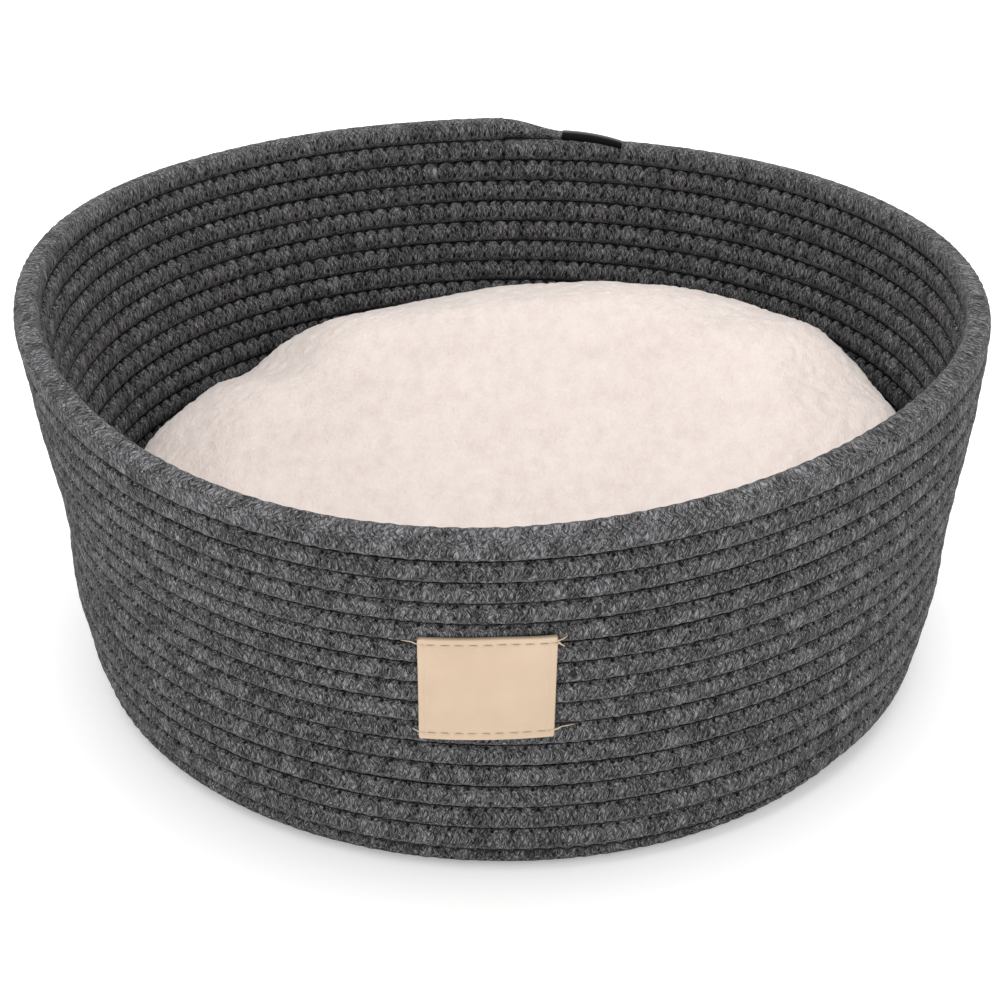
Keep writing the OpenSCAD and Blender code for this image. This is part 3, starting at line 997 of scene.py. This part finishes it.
def settle(co):
    """The cushion sits askew: high against the wall at the back right, low at the front left."""
    x, y, z = co.T
    azimuth, radius = np.arctan2(y, x), np.hypot(x, y)
    upper = smooth((z - 22 * MM) / (34 * MM))
    edge = np.clip(radius / CUSHION_R, 0, 1)
    tilt = CUSHION_TILT * np.cos(azimuth - HIGH_SIDE) * edge
    z = z + upper * (tilt + (CUSHION_RISE + CUSHION_SADDLE * np.cos(2 * azimuth)) * edge**2)
    near_edge = upper * smooth((radius - 95 * MM) / (55 * MM))
    for at, width, height in CUSHION_DENTS:
        z = z + near_edge * height * MM * np.exp(-(((np.degrees(azimuth) - at) / width) ** 2))
    puff = CUSHION_PUFF * (0.5 + 0.5 * np.cos(azimuth - HIGH_SIDE))
    puff = puff * smooth((z - 40 * MM) / (35 * MM))
    grow = 1 + puff / CUSHION_R * smooth(radius / (120 * MM))
    return np.column_stack([x * grow, y * grow, z])


def rumple(co, no):
    """Adds the soft folds and the tufts of the pile, except underneath."""
    top = smooth((co[:, 2] - 16 * MM) / (14 * MM))
    folds = 1.5 * noise_at(co, 14.0, 3.0) + 0.4 * noise_at(co, 34.0, 9.0)
    clumps = 0.3 * noise_at(co * [1, 1, 0.6], 120.0, 5.0) + 0.7 * noise_at(co, 360.0, 2.0)
    return co + no * ((folds + clumps) * top * MM)[:, None]


def keep_inside(co):
    """Holds the cushion inside the wall and above the floor."""
    radius = np.hypot(co[:, 0], co[:, 1])
    shift = wall_shift(np.arctan2(co[:, 1], co[:, 0]), height_share(co[:, 2]))
    limit = wall_inside(co[:, 2]) + shift - 0.8 * MM
    co[:, :2] *= np.minimum(1, limit / np.maximum(radius, 1e-9))[:, None]
    co[:, 2] = np.maximum(co[:, 2], CUSHION_BASE_Z)
    return co


def build_cushion(plush):
    obj = cushion_shell()
    remesh = obj.modifiers.new("Remesh", "REMESH")
    remesh.mode = "VOXEL"
    remesh.voxel_size = VOXEL
    bake_modifiers(obj)
    stuff(obj)
    set_coords(obj.data, settle(fit_cushion(coords(obj.data))))
    for _ in range(2):
        obj.modifiers.new("Subdivision", "SUBSURF").levels = 1
        bake_modifiers(obj)
    set_coords(obj.data, keep_inside(rumple(coords(obj.data), normals(obj.data))))
    obj.data.polygons.foreach_set("use_smooth", np.full(len(obj.data.polygons), True))
    obj.data.materials.clear()
    obj.data.materials.append(plush)
    return obj


# ---------------------------------------------------------------- stage

FLOOR_HALF = 60.0
# Just under the rope, so that the two surfaces don't share a plane
FLOOR_Z = -0.2 * MM
FLOOR_GLOW = 0.22
WORLD_LIGHT = 0.98
# Round soft boxes: place, width in metres and power in watts. Both face the basket's middle
LIGHTS = {
    "overhead": ((0.0, 0.1, 1.9), 1.8, 19),
    "front": ((-0.3, -1.9, 0.7), 1.4, 4.5),
}
LIT_POINT = (0, 0, 0.08)
CAMERA_PLACE = (0.02478, -0.77909, 0.50221)
CAMERA_TURN = (math.radians(60.30), 0, math.radians(1.951))
CAMERA_LENS = 75.23


def build_stage():
    h, z = FLOOR_HALF, FLOOR_Z
    mesh = bpy.data.meshes.new("floor")
    mesh.from_pydata([(-h, -h, z), (h, -h, z), (h, h, z), (-h, h, z)], [], [(0, 1, 2, 3)])
    floor = bpy.data.objects.new("floor", mesh)
    bpy.context.scene.collection.objects.link(floor)
    n = Nodes("floor")
    n.shader.inputs["Emission Color"].default_value = (1, 1, 1, 1)
    n.shader.inputs["Emission Strength"].default_value = FLOOR_GLOW
    floor.data.materials.append(n.finish((0.93, 0.93, 0.93, 1), specular=0.1))


def add_light(name, location, size, power):
    light = bpy.data.lights.new(name, "AREA")
    light.shape = "DISK"
    light.size = size
    light.energy = power
    obj = bpy.data.objects.new(name, light)
    bpy.context.scene.collection.objects.link(obj)
    obj.location = location
    direction = Vector(LIT_POINT) - Vector(location)
    obj.rotation_euler = direction.to_track_quat("-Z", "Y").to_euler()


def build_light():
    world = bpy.data.worlds.new("studio")
    bpy.context.scene.world = world
    world.use_nodes = True
    background = world.node_tree.nodes["Background"]
    background.inputs[0].default_value = (1, 1, 1, 1)
    background.inputs[1].default_value = WORLD_LIGHT
    for name, light in LIGHTS.items():
        add_light(name, *light)
    bpy.context.scene.view_settings.view_transform = "Standard"


def build_camera():
    data = bpy.data.cameras.new("camera")
    camera = bpy.data.objects.new("camera", data)
    bpy.context.scene.collection.objects.link(camera)
    data.sensor_width = 36
    data.lens = CAMERA_LENS
    data.clip_start = 0.01
    camera.location = CAMERA_PLACE
    camera.rotation_euler = CAMERA_TURN
    bpy.context.scene.camera = camera


# ---------------------------------------------------------------- build

build_camera()
build_stage()
build_light()

# the first full turn is the rim, and the wall's grooves end where the coil turns to the floor
wall_end = (PROFILE_LEN - CORNER_LEN) / PITCH - 0.3
rope_mat = rope_material(length_at(1.0), length_at(wall_end))
thread_mat = thread_material()

rope_parts = build_coil(rope_mat)
taper, tip = build_rope_end(rope_mat, binding_material())
for obj in rope_parts + [taper]:
    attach(obj, "basket")
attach(tip, "basket")
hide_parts("rim_coil", "rim_coil_core")
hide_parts("wall_coil", "wall_coil_core")
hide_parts("base_coil", "base_coil_core")
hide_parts("rope_end_binding")

label = build_label(leather_material())
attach(label, "basket")
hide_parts("label_patch")
stitch_nodes = ("label_stitch_upper", "label_stitch_lower")
for obj, node in zip(build_stitches(label_thread_material()), stitch_nodes):
    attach(obj, "basket")
    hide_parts(node)

for name, first, last, side, node in (
    ("wall_thread_inner", 0, WALL_TURNS, -1, "wall_stitching_inner"),
    ("wall_thread_outer", 0, WALL_TURNS, 1, "wall_stitching_outer"),
    ("floor_thread_top", WALL_TURNS, COIL_TURNS, -1, "base_stitching_top"),
    ("floor_thread_under", WALL_TURNS, COIL_TURNS, 1, "base_stitching_bottom"),
):
    obj = thread_run(name, first, last, side, thread_mat)
    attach(obj, "basket")
    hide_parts(node)

cushion = build_cushion(plush_material())
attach(cushion, "cushion")
cushion_nodes = ("cushion_top_cover", "cushion_base_cover", "cushion_fill", "cushion_seam_thread")
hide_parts(*cushion_nodes)
